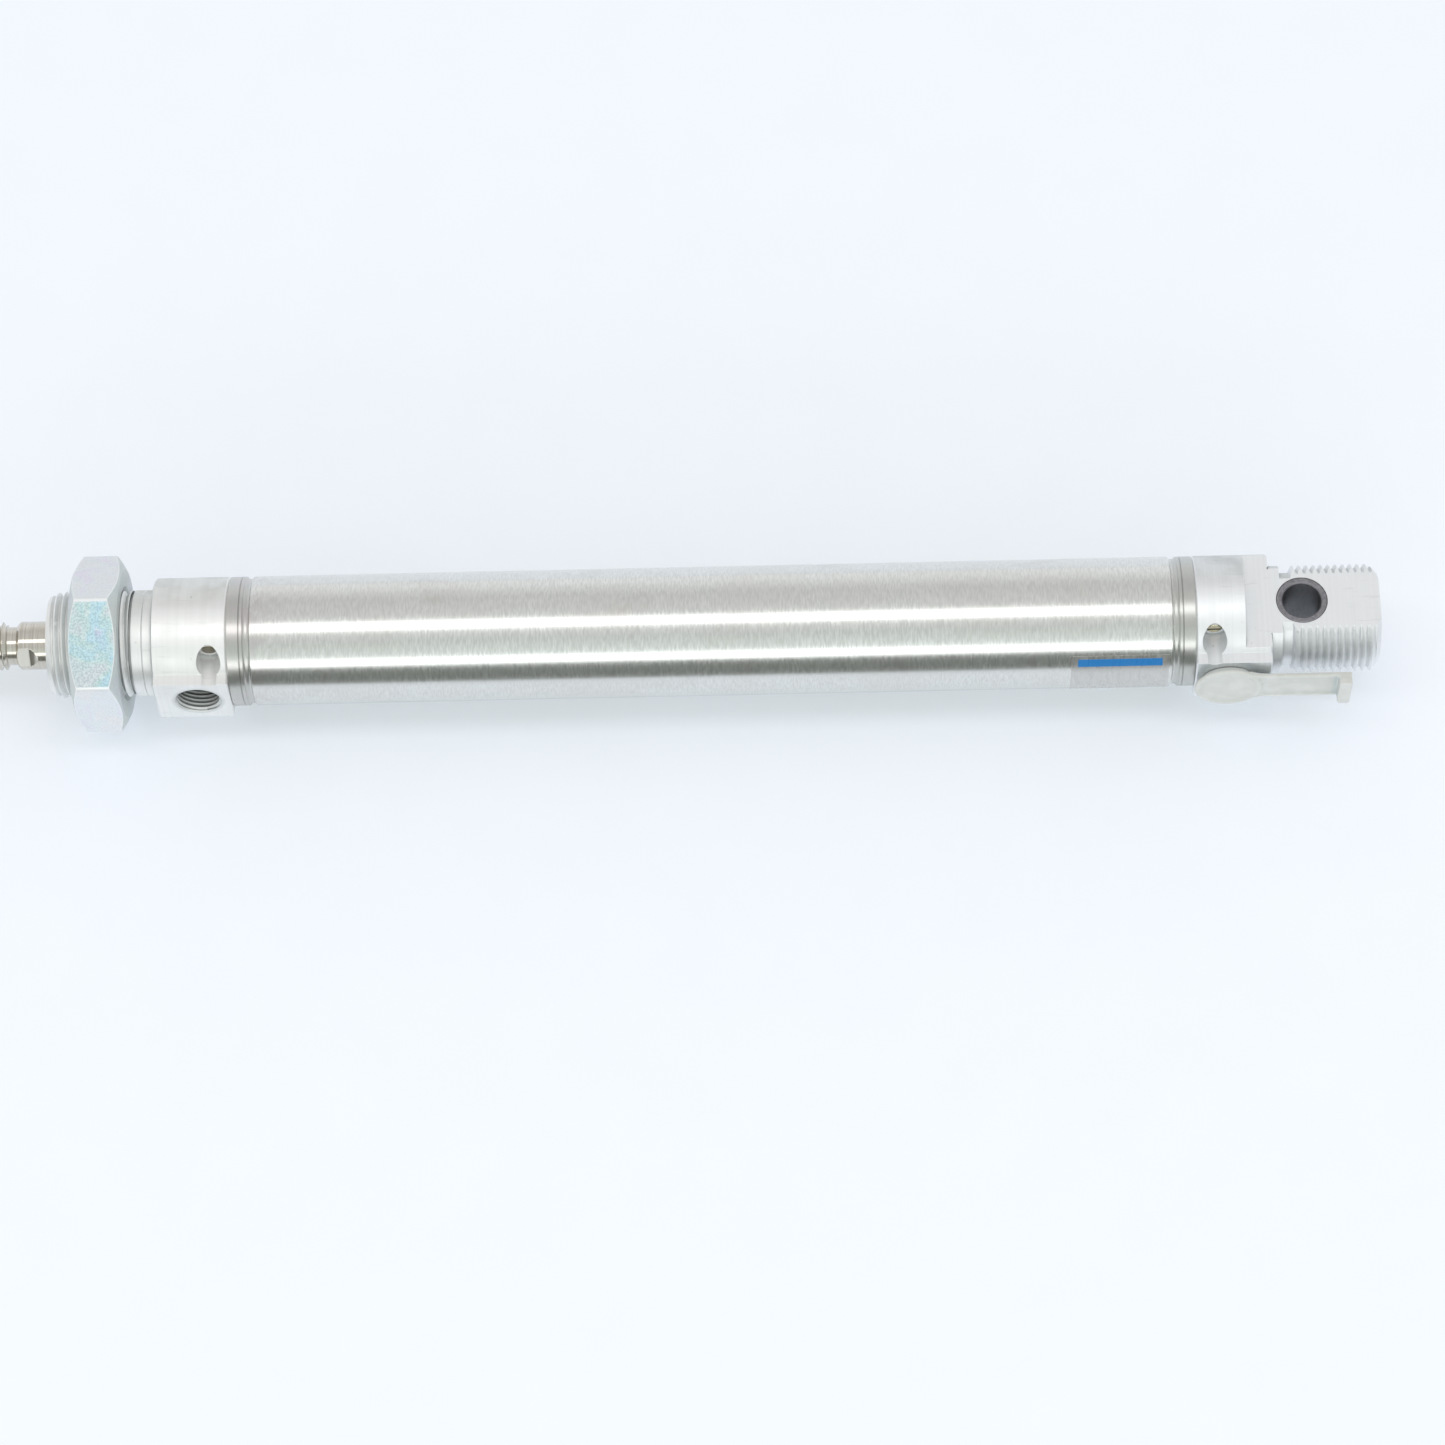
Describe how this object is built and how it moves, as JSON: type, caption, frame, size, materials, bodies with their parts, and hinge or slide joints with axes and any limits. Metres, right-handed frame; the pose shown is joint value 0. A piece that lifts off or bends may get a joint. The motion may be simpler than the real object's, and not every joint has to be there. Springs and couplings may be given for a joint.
{
  "type": "pneumatic cylinder",
  "caption": "Round double-acting pneumatic cylinder with a sliding rod, threaded neck and nut, crimped barrel, two end caps with ports and cushion screws, and a flat threaded pivot lug.",
  "frame": {"origin": "on the cylinder's axis, in the plane of the front mounting face", "axes": "+X along the axis from the rod end to the rear lug, ports open towards -Y, pivot bore along Z"},
  "size_m": [0.303, 0.034, 0.0364],
  "materials": {
    "cap_aluminium": "satin",
    "barrel_steel": "brushed",
    "rod_steel": "polished",
    "piston_aluminium": "satin",
    "seal_rubber": "matte",
    "wiper_rubber": "matte",
    "guide_plastic": "matte",
    "bush_bronze": "satin",
    "screw_brass": "satin",
    "nut_zinc": "satin",
    "pivot_bush_steel": "satin",
    "plug_plastic": "satin",
    "label_film": "satin"
  },
  "bodies": {
    "cylinder": {"front_end_cap": "cap_aluminium", "rear_end_cap": "cap_aluminium", "barrel_tube": "barrel_steel", "front_barrel_o_ring": "seal_rubber", "rear_barrel_o_ring": "seal_rubber", "front_cushion_seal": "seal_rubber", "rear_cushion_seal": "seal_rubber", "rod_guide_bush": "bush_bronze", "rod_wiper_seal": "wiper_rubber", "pivot_bush": "pivot_bush_steel", "rating_label": "label_film"},
    "piston_seals": {"piston_front_seal": "seal_rubber", "piston_rear_seal": "seal_rubber", "piston_guide_ring": "guide_plastic"},
    "rod": {"piston_rod": "rod_steel", "front_cushion_sleeve": "rod_steel", "rear_cushion_spear": "rod_steel", "piston_front_half": "piston_aluminium", "piston_rear_half": "piston_aluminium", "piston_rod_o_ring": "seal_rubber"},
    "front_screw_ring": {"front_screw_o_ring": "seal_rubber"},
    "front_screw": {"front_cushion_screw": "screw_brass"},
    "rear_screw_ring": {"rear_screw_o_ring": "seal_rubber"},
    "rear_screw": {"rear_cushion_screw": "screw_brass"},
    "nut": {"mounting_nut": "nut_zinc"},
    "plug": {"port_plug": "plug_plastic"}
  },
  "joints": [
    {"name": "rod_slide", "type": "slide", "parent": "cylinder", "child": "piston_seals", "axis": [-1, 0, 0], "range_m": [0, 0.16]},
    {"name": "rod_turn", "type": "hinge", "parent": "piston_seals", "child": "rod", "pos_m": [0, 0, 0], "axis": [-1, 0, 0], "continuous": true},
    {"name": "front_screw_travel", "type": "slide", "parent": "cylinder", "child": "front_screw_ring", "axis": [0, -1, 0], "range_m": [0, 0.0015]},
    {"name": "front_screw_turn", "type": "hinge", "parent": "front_screw_ring", "child": "front_screw", "pos_m": [0.0118, 0, 0.009], "axis": [0, -1, 0], "range_deg": [0, 1080]},
    {"name": "rear_screw_travel", "type": "slide", "parent": "cylinder", "child": "rear_screw_ring", "axis": [0, -1, 0], "range_m": [-0.0015, 0]},
    {"name": "rear_screw_turn", "type": "hinge", "parent": "rear_screw_ring", "child": "rear_screw", "pos_m": [0.2176, 0, 0.009], "axis": [0, -1, 0], "range_deg": [-1080, 0]},
    {"name": "nut_travel", "type": "slide", "parent": "cylinder", "child": "nut", "axis": [1, 0, 0], "range_m": [-0.0054, 0.002]},
    {"name": "plug_pull", "type": "slide", "parent": "cylinder", "child": "plug", "axis": [0, -1, 0], "range_m": [0, 0.012]}
  ],
  "couplings": [
    {"joint": "front_screw_turn", "follows": "front_screw_travel", "rad_per_m": 12566},
    {"joint": "rear_screw_turn", "follows": "rear_screw_travel", "rad_per_m": 12566}
  ]
}
